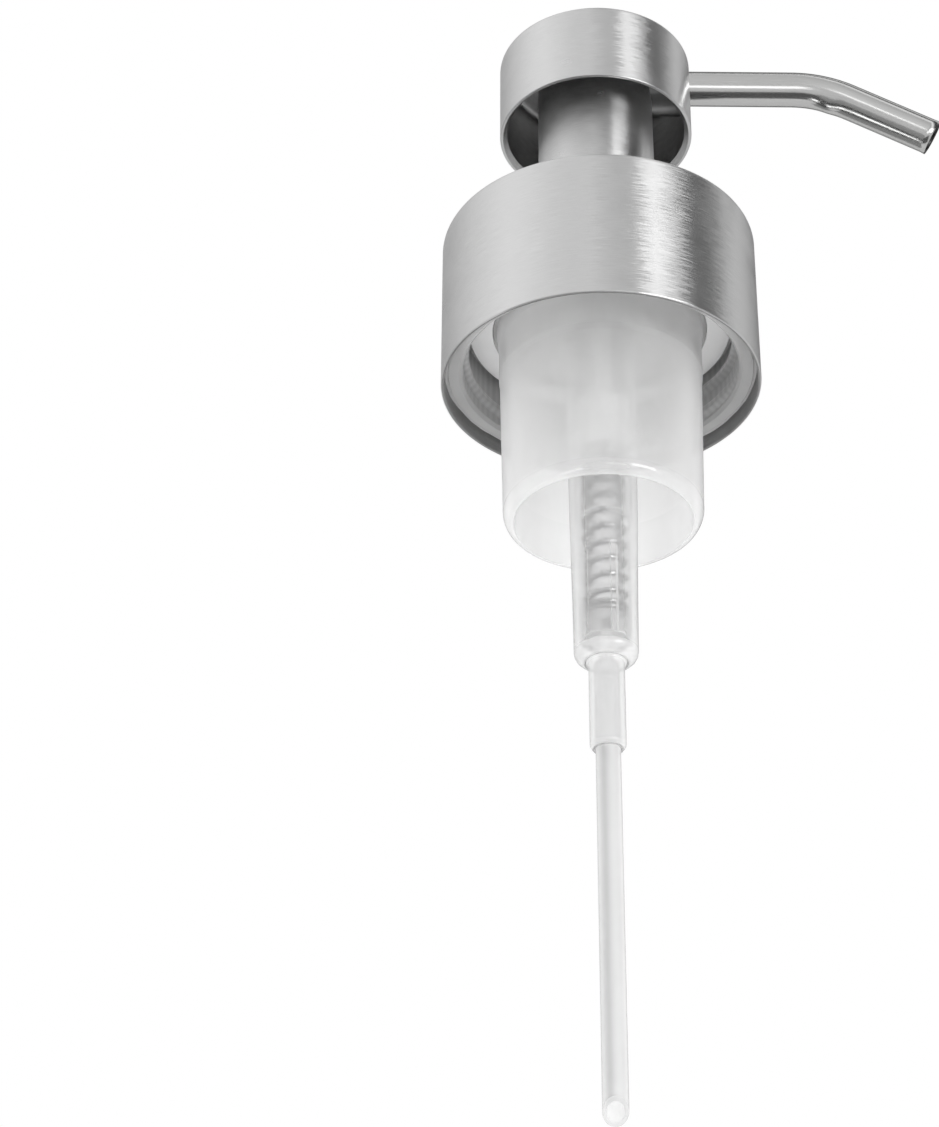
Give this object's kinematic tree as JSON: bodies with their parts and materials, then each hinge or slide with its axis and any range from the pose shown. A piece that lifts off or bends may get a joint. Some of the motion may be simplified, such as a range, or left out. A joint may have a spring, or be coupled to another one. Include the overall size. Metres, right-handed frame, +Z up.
{
  "type": "screw-on dispenser pump",
  "caption": "Screw-on pump for a wide-neck bottle: pressed head with a bent spout, screw collar, translucent neck sleeve, pump chamber and dip tube.",
  "frame": {"origin": "centre of the sealing face, the gasket's underside, where the bottle's rim lies", "axes": "+Z up the pump's axis to the head, +X along the spout; the head is released"},
  "size_m": [0.0855, 0.052, 0.1918],
  "materials": {
    "brushed_steel": "fine grain around the axis",
    "spout_steel": "satin, smoother than the shells",
    "closure_plastic": "translucent natural polypropylene",
    "sleeve_plastic": "translucent natural polypropylene, satin",
    "chamber_plastic": "translucent natural polypropylene",
    "tube_plastic": "translucent polyethylene",
    "white_plastic": "moulded, satin",
    "cage_plastic": "moulded",
    "rod_plastic": "moulded",
    "piston_plastic": "soft polyethylene",
    "gasket_foam": "fine closed-cell foam",
    "seal_rubber": "smooth",
    "adhesive": "hardened glue",
    "spring_steel": "drawn wire",
    "ball_glass": "ground"
  },
  "bodies": {
    "housing": {"neck_sleeve": "sleeve_plastic", "neck_gasket": "gasket_foam", "chamber_washer": "seal_rubber", "pump_chamber": "chamber_plastic", "locking_cap": "white_plastic", "rod_wiper": "seal_rubber", "ball_cage": "cage_plastic", "dip_tube": "tube_plastic", "return_spring": "spring_steel"},
    "closure": {"collar_shell": "brushed_steel", "closure_insert": "closure_plastic", "collar_adhesive": "adhesive", "guide_bush": "white_plastic"},
    "plunger": {"piston_rod": "rod_plastic", "piston_tip": "rod_plastic"},
    "head": {"head_shell": "brushed_steel", "stem_shroud": "brushed_steel", "actuator_core": "white_plastic", "spout_bush": "spout_steel", "spout_tube": "spout_steel"},
    "seal": {"piston_seal": "piston_plastic"},
    "ball": {"inlet_ball": "ball_glass"}
  },
  "joints": [
    {"name": "press", "type": "slide", "parent": "housing", "child": "plunger", "axis": [0, 0, -1], "range_m": [0, 0.012], "stiffness_N_per_m": 600, "springref_m": -0.008, "deforming": ["return_spring"]},
    {"name": "head_turn", "type": "hinge", "parent": "plunger", "child": "head", "pos_m": [0, 0, 0.0525], "axis": [0, 0, 1], "continuous": true},
    {"name": "collar_turn", "type": "hinge", "parent": "housing", "child": "closure", "pos_m": [0, 0, 0.003], "axis": [0, 0, 1], "continuous": true},
    {"name": "piston_shift", "type": "slide", "parent": "plunger", "child": "seal", "axis": [0, 0, 1], "range_m": [0, 0.0012]},
    {"name": "ball_lift", "type": "slide", "parent": "housing", "child": "ball", "axis": [0, 0, 1], "range_m": [0, 0.0012]}
  ]
}
